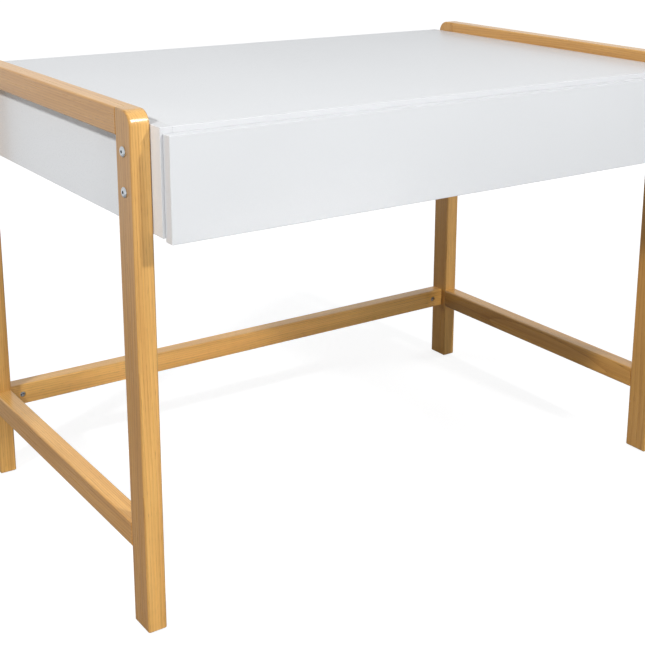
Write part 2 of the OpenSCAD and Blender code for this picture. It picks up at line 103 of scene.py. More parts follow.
class Nodes:
    """A material's node tree being written: add() makes a node, link() joins an output to an input."""

    def __init__(self, name):
        self.material = bpy.data.materials.new(name)
        self.material.use_nodes = True
        self.tree = self.material.node_tree
        self.shader = self.tree.nodes["Principled BSDF"]

    def add(self, kind, **settings):
        """Adds a node; settings are its inputs' values or its own properties."""
        node = self.tree.nodes.new("ShaderNode" + kind)
        for key, value in settings.items():
            if key in node.inputs:
                node.inputs[key].default_value = value
            else:
                setattr(node, key, value)
        return node

    def link(self, source, target):
        self.tree.links.new(source, target)

    def math(self, operation, *values):
        """Arithmetic on outputs and numbers."""
        node = self.add("Math", operation=operation)
        for socket, value in zip(node.inputs, values):
            feed(self.tree, value, socket)
        return node.outputs[0]

    def vector(self, operation, vector, by=None):
        """Arithmetic on a vector, by another one or by fixed coordinates."""
        node = self.add("VectorMath", operation=operation)
        self.link(vector, node.inputs[0])
        if isinstance(by, tuple):
            node.inputs[1].default_value = by
        elif by is not None:
            self.link(by, node.inputs[1])
        return node.outputs["Value" if operation == "LENGTH" else "Vector"]

    def shade(self, **values):
        """Sets inputs of the shader that are the same all over the surface."""
        for key, value in values.items():
            self.shader.inputs[key.replace("_", " ")].default_value = value

    def grain_space(self, axis, offset):
        """Object coordinates turned so that the grain runs along Z, moved so that pieces differ."""
        place = self.add("TexCoord").outputs["Object"]
        turn = {"X": (0, math.pi / 2, 0), "Y": (math.pi / 2, 0, 0), "Z": (0, 0, 0)}[axis]
        mapping = self.add("Mapping", Rotation=turn, Location=offset)
        self.link(place, mapping.inputs["Vector"])
        return mapping.outputs["Vector"]

    def stretched(self, vector, scale):
        """A vector scaled along each axis."""
        mapping = self.add("Mapping", Scale=scale)
        self.link(vector, mapping.inputs["Vector"])
        return mapping.outputs["Vector"]

    def noise(self, vector, detail=2.0, roughness=0.5):
        """Noise with about one cell to each unit of the vector."""
        node = self.add("TexNoise", Scale=1.0, Detail=detail, Roughness=roughness)
        self.link(vector, node.inputs["Vector"])
        return node.outputs["Fac"]

    def ramp(self, value, stops):
        """The colour at a value, where stops are (position, colour)."""
        node = self.add("ValToRGB")
        elements = node.color_ramp.elements
        while len(elements) < len(stops):
            elements.new(0.5)
        for element, (position, colour) in zip(elements, stops):
            element.position = position
            element.color = (*colour, 1.0)
        self.link(value, node.inputs["Fac"])
        return node.outputs["Color"]

    def mix(self, factor, a, b, blend="MIX"):
        """Colour a blended with colour b."""
        node = self.add("Mix", data_type="RGBA", blend_type=blend)
        return mix_colours(self.tree, node, factor, a, b)

    def bump(self, height, strength, distance):
        """Fine relief on the surface."""
        node = self.add("Bump", Strength=strength, Distance=distance)
        self.link(height, node.inputs["Height"])
        self.link(node.outputs["Normal"], self.shader.inputs["Normal"])


# Painted shade: the tint that darkens the faces that face across the desk
ACROSS_FACE_SHADE = (0.66, 0.60, 0.52)
# Scales of the noises in timber, per metre: two across the grain, then the one along it
BEND_SCALE = (5.0, 5.0, 1.1)
UNEVEN_SCALE = (40.0, 40.0, 1.0)
FIBRE_SCALE = (420.0, 420.0, 7.0)
DRIFT_SCALE = (60.0, 60.0, 2.2)
PATCH_SCALE = (9.0, 9.0, 1.6)
PORE_SCALE = (1500.0, 1500.0, 55.0)
# How far the rings bend in metres, and how uneven they are in rings
RING_BEND = 0.05
UNEVEN_RINGS = 1.2
# How dark each part makes the timber, and what is taken off their sum
RING_SHADE, FIBRE_SHADE, DRIFT_SHADE, LIGHTEN = 0.40, 0.85, 0.65, 0.50
# How much of the colour the pores hide, and their tone against the dark of the timber
PORE_COVER = 0.7
PORE_TONE = 0.45


def growth_rings(m, place, ring):
    """Rings round a far pith, one to each ring metres: 0.78 where a year begins and 0 where it ends."""
    bend = m.add("TexNoise", Scale=1.0, Detail=1.0)
    m.link(m.stretched(place, BEND_SCALE), bend.inputs["Vector"])
    centred = m.vector("SUBTRACT", bend.outputs["Color"], grey(0.5))
    bent = m.vector("ADD", place, m.vector("MULTIPLY", centred, (RING_BEND, RING_BEND, 0.0)))
    radius = m.vector("LENGTH", m.stretched(bent, (1.0, 1.0, 0.0)))
    uneven = m.noise(m.stretched(place, UNEVEN_SCALE), detail=1.0)
    turns = m.math("ADD", m.math("DIVIDE", radius, ring), m.math("MULTIPLY", uneven, UNEVEN_RINGS))
    year = m.math("FRACT", turns)
    return m.ramp(year, [(0.0, grey(0.78)), (0.22, grey(0.35)), (0.55, grey(0.12)), (1.0, grey(0.0))])


def open_pores(m, place, rings):
    """Short dark dashes, thickest in the early wood."""
    dashes = m.noise(m.stretched(place, PORE_SCALE), detail=1.0)
    pores = m.ramp(dashes, [(0.60, grey(0.0)), (0.68, grey(1.0))])
    return m.math("MULTIPLY", pores, m.math("ADD", m.math("MULTIPLY", rings, 1.1), 0.12))


def darken_across_faces(m, colour, amount):
    """Painted shade: darkens and tints the faces that face across the desk, by the X of their normal."""
    facing = m.add("SeparateXYZ")
    m.link(m.add("TexCoord").outputs["Normal"], facing.inputs[0])
    across_face_mask = m.math("MULTIPLY", m.math("ABSOLUTE", facing.outputs["X"]), amount)
    return m.mix(across_face_mask, colour, ACROSS_FACE_SHADE, "MULTIPLY")


def wood(name, axis, offset, light, dark, ring=0.0034, lacquer=0.4, painted_shade_amount=1.0):
    """Solid timber: growth rings, fine fibre streaks, drifts of colour and open pores; faces across the
    desk get painted shade.
    """
    m = Nodes(name)
    place = m.grain_space(axis, offset)
    rings = growth_rings(m, place, ring)
    fibres = m.noise(m.stretched(place, FIBRE_SCALE), detail=3.0, roughness=0.6)
    drifts = m.noise(m.stretched(place, DRIFT_SCALE), detail=2.0)
    patches = m.noise(m.stretched(place, PATCH_SCALE), detail=1.0)
    pores = open_pores(m, place, rings)
    shade = m.math("ADD", m.math("MULTIPLY", rings, RING_SHADE), m.math("MULTIPLY", fibres, FIBRE_SHADE))
    shade = m.math("ADD", shade, m.math("MULTIPLY", drifts, DRIFT_SHADE))
    shade = m.math("SUBTRACT", shade, LIGHTEN)
    colour = m.ramp(shade, [(0.12, light), (0.86, dark)])
    warmth = m.ramp(patches, [(0.3, (1.06, 1.03, 0.98)), (0.7, (0.93, 0.95, 1.0))])
    colour = m.mix(1.0, colour, warmth, "MULTIPLY")
    colour = m.mix(m.math("MULTIPLY", pores, PORE_COVER), colour, tuple(PORE_TONE * c for c in dark))
    # Painted shade on the faces that face across the desk
    m.link(darken_across_faces(m, colour, painted_shade_amount), m.shader.inputs["Base Color"])
    gloss = m.ramp(fibres, [(0.3, grey(0.26)), (0.75, grey(0.36))])
    m.link(gloss, m.shader.inputs["Roughness"])
    m.bump(m.math("SUBTRACT", m.math("MULTIPLY", fibres, 0.5), pores), 0.25, 0.08 * MM)
    m.shade(Coat_Weight=lacquer, Coat_Roughness=0.20, Coat_IOR=1.5)
    return m.material


def faced_board(name, colour, roughness, texture=1.0):
    """Melamine-faced board: a faint fine orange peel and hardly any change of tone."""
    m = Nodes(name)
    place = m.add("TexCoord").outputs["Object"]
    cloud = m.noise(m.stretched(place, (3.0, 3.0, 3.0)), detail=2.0)
    low = tuple(c * 0.985 for c in colour)
    high = tuple(min(c * 1.015, 1.0) for c in colour)
    m.link(m.ramp(cloud, [(0.3, low), (0.7, high)]), m.shader.inputs["Base Color"])
    peel = m.noise(m.stretched(place, (1100.0, 1100.0, 1100.0)), detail=2.0)
    gloss = m.ramp(peel, [(0.3, grey(roughness - 0.04)), (0.7, grey(roughness + 0.05))])
    m.link(gloss, m.shader.inputs["Roughness"])
    m.bump(peel, 0.10 * texture, 0.05 * MM)
    return m.material


WEAR = 0.15


def metal(name, colour, roughness, brush=(300.0, 300.0, 300.0)):
    """Plated metal with fine marks; brush stretches them along one axis."""
    m = Nodes(name)
    place = m.add("TexCoord").outputs["Object"]
    marks = m.noise(m.stretched(place, brush), detail=4.0, roughness=0.65)
    dull = tuple(c * 0.8 for c in colour)
    m.link(m.ramp(marks, [(0.25, dull), (0.7, colour)]), m.shader.inputs["Base Color"])
    gloss = m.ramp(marks, [(0.3, grey(roughness)), (0.8, grey(roughness + WEAR))])
    m.link(gloss, m.shader.inputs["Roughness"])
    m.bump(marks, 0.2, 0.02 * MM)
    m.shade(Metallic=1.0)
    return m.material


def plastic(name, colour, roughness, clear=0.0):
    """Moulded plastic with a fine spark-eroded texture."""
    m = Nodes(name)
    place = m.add("TexCoord").outputs["Object"]
    grit = m.noise(m.stretched(place, (2500.0, 2500.0, 2500.0)), detail=2.0)
    low = tuple(c * 0.9 for c in colour)
    m.link(m.ramp(grit, [(0.3, low), (0.7, colour)]), m.shader.inputs["Base Color"])
    gloss = m.ramp(grit, [(0.3, grey(roughness - 0.05)), (0.7, grey(roughness + 0.1))])
    m.link(gloss, m.shader.inputs["Roughness"])
    m.bump(grit, 0.15, 0.03 * MM)
    m.shade(Transmission_Weight=clear)
    return m.material


def chip_core(name):
    """Cut particle board, seen inside the drilled holes."""
    m = Nodes(name)
    place = m.add("TexCoord").outputs["Object"]
    chips = m.noise(m.stretched(place, (700.0, 700.0, 1300.0)), detail=3.0, roughness=0.7)
    m.link(m.ramp(chips, [(0.35, (0.22, 0.14, 0.07)), (0.65, (0.55, 0.40, 0.24))]),
           m.shader.inputs["Base Color"])
    m.bump(chips, 0.6, 0.3 * MM)
    m.shade(Roughness=0.85)
    return m.material


OAK_LIGHT = (0.74, 0.425, 0.125)
OAK_DARK = (0.42, 0.185, 0.034)


def oak(name, axis, offset, tone):
    """Lacquered oak; tone sets how light this piece is against the others, and for some rails paints
    light.
    """
    light, dark = (tuple(tone * c for c in colour) for colour in (OAK_LIGHT, OAK_DARK))
    return wood(name, axis, offset, light, dark)


BEECH_LIGHT = (0.72, 0.52, 0.32)
BEECH_DARK = (0.58, 0.38, 0.20)


def beech(axis):
    """Plain unlacquered beech with its grain along an axis."""
    return wood("beech_" + axis.lower(), axis, (0.2, 0.1, 0.4), BEECH_LIGHT, BEECH_DARK,
                ring=0.005, lacquer=0.0, painted_shade_amount=0.0)


LAMINATE = faced_board("white_laminate", (0.715, 0.725, 0.735), 0.30)
EDGE_BAND = faced_board("white_edge_band", (0.66, 0.665, 0.675), 0.30, texture=0.6)
DRAWER_LAMINATE = faced_board("drawer_laminate", (0.70, 0.705, 0.71), 0.42)
BOARD_CORE = chip_core("board_core")
BOLT_STEEL = metal("nickel_plate", (0.74, 0.79, 0.83), 0.22)
ZINC = metal("zinc_plate", (0.62, 0.63, 0.65), 0.30)
SLIDE_STEEL = metal("slide_steel", (0.66, 0.67, 0.69), 0.24, brush=(900.0, 14.0, 900.0))
GLIDE_PLASTIC = plastic("glide_plastic", (0.05, 0.045, 0.04), 0.5)
# Painted shade: dark steel for the insides of sockets, cross recesses and slots
RECESS_SHADE = metal("painted_recess_shade", (0.09, 0.11, 0.12), 0.45)
BEECH = {axis: beech(axis) for axis in AXES}
BUMPER_PLASTIC = plastic("bumper_plastic", (0.85, 0.86, 0.86), 0.25, clear=0.6)

# ---------------------------------------------------------------- mesh tools

# Below this radius a ring is a point, and below these distances vertices are one
NO_RADIUS = 1e-9
WELD = 1e-6
FINE_WELD = 1e-7
# How far hardware must reach into a piece to be drilled for, how far a hole runs past its hardware,
# and the clearance round it
GAP = 0.02 * MM
OVER = 0.6 * MM
CLEAR = 0.12 * MM


def point(axis, u, v, w):
    """A point from its two coordinates across an axis and the one along it."""
    return {"X": (w, u, v), "Y": (u, w, v), "Z": (u, v, w)}[axis]


def split(axis, vector):
    """The two coordinates of a vector across an axis, then the one along it."""
    x, y, z = vector
    return {"X": (y, z, x), "Y": (x, z, y), "Z": (x, y, z)}[axis]


def ring_points(low, high, radii, inset, steps):
    """Rectangle with its own radius at each corner, drawn inset from its outline."""
    corners = [(low[0], low[1], 1, 1, 180), (high[0], low[1], -1, 1, 270),
               (high[0], high[1], -1, -1, 0), (low[0], high[1], 1, -1, 90)]
    points = []
    for (u, v, su, sv, start), radius in zip(corners, radii):
        reach = max(radius, inset)
        arc = max(radius - inset, 0.0)
        for step in range(steps + 1):
            angle = math.radians(start + 90 * step / steps)
            points.append((u + su * reach + arc * math.cos(angle),
                           v + sv * reach + arc * math.sin(angle)))
    return points


def rounded_block(axis, low, high, radii, rim, steps=6, rim_steps=4):
    """Block from low to high whose four corners across the axis and whose two end rims are rounded.

    radii are those of the corners low-low, high-low, high-high and low-high across the axis."""
    u0, v0, w0 = split(axis, low)
    u1, v1, w1 = split(axis, high)
    bm = bmesh.new()
    levels = []
    for step in range(rim_steps + 1):
        angle = math.radians(90 * step / rim_steps)
        levels.append((rim * (1 - math.sin(angle)), rim * (1 - math.cos(angle))))
    levels = [(inset, w0 + depth) for inset, depth in levels] + \
             [(inset, w1 - depth) for inset, depth in reversed(levels)]
    rings = []
    for inset, w in levels:
        outline = ring_points((u0, v0), (u1, v1), radii, inset, steps)
        rings.append([bm.verts.new(point(axis, u, v, w)) for u, v in outline])
    for first, second in zip(rings, rings[1:]):
        for i in range(len(first)):
            j = (i + 1) % len(first)
            bm.faces.new((first[i], first[j], second[j], second[i]))
    bm.faces.new(rings[0])
    bm.faces.new(rings[-1])
    bmesh.ops.remove_doubles(bm, verts=bm.verts, dist=WELD)
    bmesh.ops.dissolve_degenerate(bm, dist=FINE_WELD, edges=bm.edges)
    bmesh.ops.recalc_face_normals(bm, faces=bm.faces)
    return bm


def lathe(bm, profile, axis, centre, direction, segments):
    """Adds a solid of revolution: profile is (radius, height) pairs from its base to its tip."""
    u, v, w = split(axis, centre)
    rings = []
    for radius, height in profile:
        if radius < NO_RADIUS:
            rings.append([bm.verts.new(point(axis, u, v, w + direction * height))])
            continue
        turn = [2 * math.pi * k / segments for k in range(segments)]
        rings.append([bm.verts.new(point(axis, u + radius * math.cos(a), v + radius * math.sin(a),
                                         w + direction * height)) for a in turn])
    for first, second in zip(rings, rings[1:]):
        for i in range(segments):
            j = (i + 1) % segments
            near = [first[i % len(first)], first[j % len(first)]]
            far = [second[j % len(second)], second[i % len(second)]]
            bm.faces.new(list(dict.fromkeys(near + far)))
    bmesh.ops.recalc_face_normals(bm, faces=bm.faces)


def to_object(name, bm, materials):
    """A mesh object made from bm, which it uses up."""
    mesh = bpy.data.meshes.new(name)
    bm.to_mesh(mesh)
    bm.free()
    for material in materials:
        mesh.materials.append(material)
    made = bpy.data.objects.new(name, mesh)
    bpy.context.scene.collection.objects.link(made)
    return made


def cut(target, cutter_mesh, inside):
    """Subtracts a cutter from a piece for good; the cut faces get the material inside."""
    cutter = to_object("cutter", cutter_mesh, [inside])
    subtract = target.modifiers.new("cut", "BOOLEAN")
    subtract.operation = "DIFFERENCE"
    subtract.solver = "MANIFOLD"
    subtract.material_mode = "TRANSFER"
    subtract.object = cutter
    bpy.context.view_layer.update()
    done = bpy.data.meshes.new_from_object(target.evaluated_get(bpy.context.evaluated_depsgraph_get()))
    target.modifiers.clear()
    target.data = done
    bpy.data.objects.remove(cutter)


def finish_piece(made, node, sharp=38):
    """Smooth shading that keeps the flats flat, then the piece's place in the frame."""
    made.data.shade_smooth()
    made.data.set_sharp_from_angle(angle=math.radians(sharp))
    weighted = made.modifiers.new("flat_faces", "WEIGHTED_NORMAL")
    weighted.keep_sharp = True
    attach(made, BODY_OF[node])
    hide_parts(node)
    return made


@functools.cache
def solids_of(node):
    """The boxes of the separate solids of a CAD node."""
    bm = bmesh.new()
    bm.from_mesh(frame["nodes"][node].data)
    bmesh.ops.remove_doubles(bm, verts=bm.verts, dist=WELD)
    boxes = []
    left = set(bm.verts)
    for first in list(bm.verts):
        if first not in left:
            continue
        left.remove(first)
        stack = [first]
        island = []
        while stack:
            vertex = stack.pop()
            island.append(vertex.co.copy())
            for edge in vertex.link_edges:
                other = edge.other_vert(vertex)
                if other in left:
                    left.remove(other)
                    stack.append(other)
        boxes.append((Vector(map(min, zip(*island))), Vector(map(max, zip(*island)))))
    bm.free()
    return sorted(boxes, key=lambda b: tuple(round(c, 5) for c in b[0]))


def rod(bm, axis, start, length, radius):
    """Adds a plain cylinder along an axis."""
    lathe(bm, [(0, 0), (radius, 0), (radius, length), (0, length)], axis, start, 1, 48)


def drill(made, node, inside, *holes):
    """Cuts the holes for other nodes' round solids into a piece that stands for node.

    Each hole is (hardware node, its axis, radius), and radius None means its own with a clearance.
    A fourth value says how far the hole runs past the hardware where that isn't OVER."""
    piece_low, piece_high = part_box(node)
    for hardware, axis, radius, *sunk in holes:
        past = sunk[0] if sunk else OVER
        cutter = bmesh.new()
        for low, high in solids_of(hardware):
            if any(high[k] < piece_low[k] + GAP or low[k] > piece_high[k] - GAP for k in range(3)):
                continue
            u0, v0, w0 = split(axis, low)
            u1, v1, w1 = split(axis, high)
            start = point(axis, (u0 + u1) / 2, (v0 + v1) / 2, w0 - past)
            rod(cutter, axis, start, w1 - w0 + 2 * past, radius or (u1 - u0) / 2 + CLEAR)
        cut(made, cutter, inside)
    return made


# ---------------------------------------------------------------- oak frames

# Radii of the edges and corners
EASED = 3.0 * MM
TOP_CORNER = 21.0 * MM
FOOT_CORNER = 2.4 * MM
BUTT = 0.35 * MM
# Radii of the holes, and how far the barrel nuts' holes run past the nuts
BOLT_HOLE = 3.25 * MM
NAIL_HOLE = 1.05 * MM
NUT_SINK = 2.5 * MM
LEG_TONE = 1.03


def leg(node, offset, *holes):
    """Leg with eased edges; its outer top corner is rounded and its top meets the rail flush."""
    low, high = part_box(node)
    top = (BUTT, TOP_CORNER) if "front" in node else (TOP_CORNER, BUTT)
    bm = rounded_block("X", low, high, (FOOT_CORNER, FOOT_CORNER, *top), EASED, steps=14)
    finish = oak(node + "_oak", "Z", offset, LEG_TONE)
    made = to_object("oak_" + node, bm, [finish])
    side = node.split("_")[0]
    glide = node.replace("leg", "glide")
    drill(made, node, finish, (side + "_frame_dowels", "Y", None), (side + "_leg_bolts", "X", BOLT_HOLE),
          (glide, "Z", NAIL_HOLE), *holes)
    return finish_piece(made, node)


def rail(node, axis, offset, tone, *holes):
    """Rail or stretcher with eased long edges and square butt ends."""
    low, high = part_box(node)
    bm = rounded_block(axis, low, high, (EASED,) * 4, BUTT, rim_steps=2)
    finish = oak(node + "_oak", axis, offset, tone)
    made = to_object("oak_" + node, bm, [finish])
    drill(made, node, finish, *holes)
    return finish_piece(made, node)


STRETCHER_HOLES = (("stretcher_dowels", "X", None), ("stretcher_bolts", "X", BOLT_HOLE))

# Each piece is cut from its own place in the timber, and each rail has its own tone. The tones partly
# paint light:
# the rear stretcher, in shade under the desk, and the right top rail are made lighter than the others
leg("left_front_leg", (0.062, -0.071, 0.30))
leg("left_rear_leg", (0.115, 0.040, 1.10), *STRETCHER_HOLES)
leg("right_front_leg", (-0.090, 0.105, 2.20))
leg("right_rear_leg", (-0.140, 0.055, 3.70), *STRETCHER_HOLES)
rail("left_top_rail", "Y", (0.083, 0.052, 0.45), 1.04, ("left_frame_dowels", "Y", None))
# Painted light: a raised tone lightens this rail
rail("right_top_rail", "Y", (-0.108, 0.094, 1.75), 1.14, ("right_frame_dowels", "Y", None))
rail("left_side_stretcher", "Y", (0.071, -0.118, 2.90), 1.16, ("left_frame_dowels", "Y", None))
rail("right_side_stretcher", "Y", (-0.064, 0.131, 4.10), 0.97, ("right_frame_dowels", "Y", None))
# Painted light: a raised tone lightens the rear stretcher, which sits in shade under the desk
rail("rear_stretcher", "X", (0.121, -0.083, 5.30), 1.25, ("barrel_nuts", "Y", None, NUT_SINK),
     *STRETCHER_HOLES)

# ---------------------------------------------------------------- boards

# Radii of the edges and of the holes
CRISP = 0.8 * MM
THIN_CRISP = 0.4 * MM
BATTEN_EDGE = 1.5 * MM
PIN_HOLE = 3.5 * MM
SCREW_HOLE = 1.8 * MM
WOOD_SCREW_HOLE = 2.6 * MM
# A face counts as a broad one if its normal runs at least this far along the thickness
FACE_ON = 0.999


def board(node, laminate, slot, *holes, radius=CRISP):
    """Faced board: laminate on its broad faces, edge band on its narrow ones, holes for its fittings."""
    low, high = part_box(node)
    size = high - low
    thin = AXES[min(range(3), key=lambda k: size[k])]
    bm = rounded_block(thin, low, high, (radius,) * 4, radius, steps=3, rim_steps=3)
    bm.normal_update()
    for face in bm.faces:
        face.material_index = 0 if abs(split(thin, face.normal)[2]) > FACE_ON else 1
    made = to_object("board_" + node, bm, [laminate, EDGE_BAND])
    drill(made, node, BOARD_CORE, *holes)
    return finish_piece(made, node)


board("desk_top", LAMINATE, "white_board", ("top_cam_locks", "Z", None), ("top_cam_pins", "X", PIN_HOLE),
      ("top_dowels", "X", None), ("back_dowels", "Z", None))
for side in ("left", "right"):
    board(side + "_side_panel", LAMINATE, "white_board", ("top_cam_pins", "X", None),
          ("back_cam_pins", "X", None), ("top_dowels", "X", None), (side + "_insert_nuts", "X", None),
          ("cabinet_slide_screws", "X", SCREW_HOLE))
    board("drawer_" + side + "_side", DRAWER_LAMINATE, "drawer_board", ("drawer_cam_locks", "X", None),
          ("drawer_cam_pins", "Y", PIN_HOLE), ("drawer_dowels", "Y", None),
          ("drawer_slide_screws", "X", SCREW_HOLE), ("drawer_back_screws", "X", WOOD_SCREW_HOLE))
board("back_panel", LAMINATE, "white_board", ("back_cam_locks", "Y", None),
      ("back_cam_pins", "X", PIN_HOLE), ("back_dowels", "Z", None))
board("drawer_front", LAMINATE, "white_board", ("drawer_cam_pins", "Y", None),
      ("drawer_dowels", "Y", None))
board("drawer_back", DRAWER_LAMINATE, "drawer_board", ("drawer_back_screws", "X", WOOD_SCREW_HOLE),
      ("bottom_screws", "Z", SCREW_HOLE))
board("drawer_bottom", DRAWER_LAMINATE, "drawer_board", ("bottom_screws", "Z", SCREW_HOLE),
      radius=THIN_CRISP)


def batten(node="drawer_brace"):
    """Beech batten that braces the drawer bottom."""
    low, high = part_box(node)
    bm = rounded_block("Y", low, high, (BATTEN_EDGE,) * 4, BUTT)
    made = to_object("batten_" + node, bm, [BEECH["Y"]])
    drill(made, node, BEECH["Y"], ("drawer_dowels", "Y", None), ("bottom_screws", "Z", SCREW_HOLE))
    return finish_piece(made, node)


batten()

# ---------------------------------------------------------------- fastenings

# The sharpest bend of a fitting, in degrees, that is shaded smooth
FITTING_SHARP = 28
# How far the cutter of a pocket stands out of the face
POCKET_OVER = 0.3 * MM
# Radii of the bolts' threads and of the holes tapped for them
THREAD = 3.0 * MM
THREADED_HOLE = 3.05 * MM
# The hexagon socket: its radius at the corners, its depth, its cone below that, and its cutter's length
HEX_SOCKET = 2.45 * MM
HEX_DEPTH = 1.8 * MM
HEX_CONE = 0.7 * MM
HEX_CUTTER = 3 * MM
NUT_CHAMFER = 0.6 * MM


def domed_head(radius, base, height, flat, rim=0.30):
    """Profile of a low domed head from the edge of its seat to its tip.

    flat is the radius of its flat top and rim the height of its straight edge, as parts of the head's."""
    profile = [(radius - 0.15 * MM, base), (radius, base + 0.15 * MM), (radius, base + rim * height)]
    for step in range(1, 9):
        angle = math.radians(90 * step / 8)
        profile.append((radius * (flat + (1 - flat) * math.cos(angle)),
                        base + height * (rim + (1 - rim) * math.sin(angle))))
    return profile + [(0, base + height)]


def wedge(bm, axis, centre, direction, half_u, half_v, depth, taper=0.92):
    """Adds a four-sided tapered pocket that narrows inwards from a face."""
    u, v, w = split(axis, centre)
    rings = []
    for level, scale in ((-depth, taper), (POCKET_OVER, 1.0)):
        corners = ((-1, -1), (1, -1), (1, 1), (-1, 1))
        rings.append([bm.verts.new(point(axis, u + a * half_u * scale, v + b * half_v * scale,
                                         w + direction * level)) for a, b in corners])
    lower, upper = rings
    faces = [bm.faces.new(lower), bm.faces.new(upper)]
    faces += [bm.faces.new((lower[i], lower[i - 1], upper[i - 1], upper[i])) for i in range(4)]
    bmesh.ops.recalc_face_normals(bm, faces=faces)


def cross_recess(bm, axis, centre, direction, arm, width, depth, taper=0.6):
    """Adds a plus-shaped tapered pocket that narrows inwards from a face."""
    u, v, w = split(axis, centre)
    quarter = [(arm, -width), (arm, width), (width, width)]
    plus = []
    for turn in range(4):
        cosine, sine = (1, 0, -1, 0)[turn], (0, 1, 0, -1)[turn]
        plus += [(a * cosine - b * sine, a * sine + b * cosine) for a, b in quarter]
    rings = []
    for level, scale in ((-depth, taper), (POCKET_OVER, 1.0)):
        rings.append([bm.verts.new(point(axis, u + a * scale, v + b * scale, w + direction * level))
                      for a, b in plus])
    lower, upper = rings
    faces = [bm.faces.new(lower), bm.faces.new(upper)]
    faces += [bm.faces.new((lower[i], lower[i - 1], upper[i - 1], upper[i])) for i in range(12)]
    bmesh.ops.recalc_face_normals(bm, faces=faces)


def outward(centre):
    """Away from the middle of the desk, along X."""
    return 1 if centre.x > 0 else -1


def inward(centre):
    """Towards the middle of the desk, along X."""
    return -outward(centre)


def to_low_end(centre):
    """Towards the low end of the axis: down along Z, or to the front along Y."""
    return -1


def bolt_set(node):
    """Connector bolts: a low domed head with a rolled rim and a hexagon socket."""
    seat_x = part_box("right_front_leg")[1].x
    heads = bmesh.new()
    sockets = bmesh.new()
    for low, high in solids_of(node):
        centre = (low + high) / 2
        side = outward(centre)
        inner, tip = (low.x, high.x) if side > 0 else (high.x, low.x)
        shank = abs(side * seat_x - inner)
        height = abs(tip) - seat_x
        profile = [(0, 0), (THREAD - 0.5 * MM, 0), (THREAD, 0.5 * MM), (THREAD, shank)]
        profile += domed_head((high.z - low.z) / 2, shank, height, flat=0.56, rim=0.28)
        lathe(heads, profile, "X", Vector((inner, centre.y, centre.z)), side, 56)
        start = Vector((tip - side * HEX_DEPTH, centre.y, centre.z))
        hexagon = [(0, -HEX_CONE), (HEX_SOCKET, 0), (HEX_SOCKET, HEX_CUTTER), (0, HEX_CUTTER)]
        lathe(sockets, hexagon, "X", start, side, 6)
    made = to_object("heads_" + node, heads, [BOLT_STEEL])
    # The sockets' faces get painted shade
    cut(made, sockets, RECESS_SHADE)
    return finish_piece(made, node, sharp=FITTING_SHARP)


def cam_set(node, axis, out, pins, pin_axis):
    """Zinc cam locks: a chamfered disc with a rim, a sunk face and a cross recess, drilled for the pins.

    out says for each lock which way along the axis it faces."""
    discs = bmesh.new()
    pockets = bmesh.new()
    for low, high in solids_of(node):
        centre = (low + high) / 2
        direction = out(centre)
        index = AXES.index(axis)
        radius = (split(axis, high)[0] - split(axis, low)[0]) / 2
        height = high[index] - low[index]
        base, face = centre.copy(), centre.copy()
        base[index] = low[index] if direction > 0 else high[index]
        face[index] = high[index] if direction > 0 else low[index]
        chamfer, rim, sunk = 0.5 * MM, 1.3 * MM, height - 0.45 * MM
        profile = [(0, 0), (radius - chamfer, 0), (radius, chamfer), (radius, height - chamfer),
                   (radius - 0.4 * MM, height), (radius - rim, height),
                   (radius - rim - 0.3 * MM, sunk), (0, sunk)]
        lathe(discs, profile, axis, base, direction, 56)
        cross_recess(pockets, axis, face, direction, 4.0 * MM, 0.8 * MM, 2.4 * MM)
    made = to_object("cams_" + node, discs, [ZINC])
    cut(made, pockets, ZINC)
    drill(made, node, ZINC, (pins, pin_axis, PIN_HOLE))
    return finish_piece(made, node, sharp=FITTING_SHARP)


def screw_set(node, axis, out, head_r, head_h, shank_r, flat=0.5):
    """Screws with a cross recess.

    out says which way along the axis each head faces, and flat is how much of the head isn't domed,
    as a part of its radius."""
    screws = bmesh.new()
    recesses = bmesh.new()
    index = AXES.index(axis)
    for low, high in solids_of(node):
        centre = (low + high) / 2
        direction = out(centre)
        base, face = centre.copy(), centre.copy()
        base[index] = low[index] if direction > 0 else high[index]
        face[index] = high[index] if direction > 0 else low[index]
        shank = high[index] - low[index] - head_h
        profile = [(0, 0), (0.7 * shank_r, 2 * MM), (shank_r, 4 * MM), (shank_r, shank)]
        profile += domed_head(head_r, shank, head_h, flat=flat)
        lathe(screws, profile, axis, base, direction, 32)
        cross_recess(recesses, axis, face, direction, 0.52 * head_r, 0.13 * head_r, 0.8 * head_h)
    made = to_object("screws_" + node, screws, [ZINC])
    # The recesses' faces get painted shade
    cut(made, recesses, RECESS_SHADE)
    return finish_piece(made, node, sharp=FITTING_SHARP)


# The head's radius and height, then the shank's radius
SLIDE_SCREW = (3.6 * MM, 1.3 * MM, 1.75 * MM)
WOOD_SCREW = (4.5 * MM, 2.5 * MM, 2.5 * MM)
for node in ("left_leg_bolts", "right_leg_bolts", "stretcher_bolts"):
    bolt_set(node)
cam_set("top_cam_locks", "Z", to_low_end, "top_cam_pins", "X")
cam_set("back_cam_locks", "Y", to_low_end, "back_cam_pins", "X")
cam_set("drawer_cam_locks", "X", inward, "drawer_cam_pins", "Y")
screw_set("cabinet_slide_screws", "X", inward, *SLIDE_SCREW)
screw_set("drawer_slide_screws", "X", outward, *SLIDE_SCREW)
screw_set("bottom_screws", "Z", to_low_end, *SLIDE_SCREW)
screw_set("drawer_back_screws", "X", outward, *WOOD_SCREW, flat=0.9)


